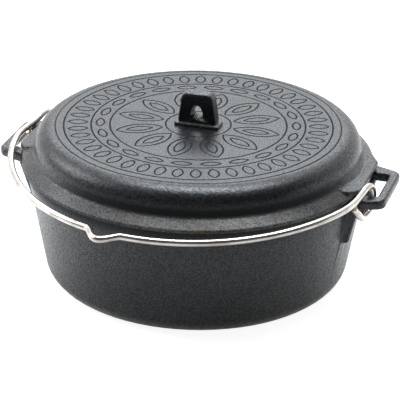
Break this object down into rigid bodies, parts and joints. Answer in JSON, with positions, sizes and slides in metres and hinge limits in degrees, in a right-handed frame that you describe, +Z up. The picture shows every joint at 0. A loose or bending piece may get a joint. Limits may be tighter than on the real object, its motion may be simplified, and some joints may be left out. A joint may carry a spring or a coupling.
{
  "type": "flat-bottom dutch oven",
  "caption": "Round cast-iron camp oven with a flat base, loop handles at the rim, a flat lid with a lug and hook hole, and a wire bail hinged on opposite handle arms.",
  "frame": {"origin": "middle of the flat base, on the surface the oven stands on", "axes": "+Z up along the pot's axis; +X and -X point at the two loop handles; the bail lies lowered towards -Y"},
  "size_m": [0.3752, 0.3487, 0.1795],
  "materials": {
    "pot_iron": "seasoned sand-cast iron, satin black-grey with fine grain",
    "lid_iron": "seasoned sand-cast iron, satin dark grey with fine grain",
    "bail_steel": "bright plated steel wire, lightly drawn"
  },
  "bodies": {
    "pot_body": {"pot": "pot_iron"},
    "lid_body": {"lid": "lid_iron"},
    "bail_body": {"bail": "bail_steel"}
  },
  "joints": [
    {"name": "lid_lift", "type": "slide", "parent": "pot_body", "child": "lid_body", "axis": [0, 0, 1], "range_m": [0, 0.1]},
    {"name": "bail_swing", "type": "hinge", "parent": "pot_body", "child": "bail_body", "pos_m": [0, 0, 0.107], "axis": [-0.9812, 0.193, 0], "range_deg": [0, 152]}
  ]
}
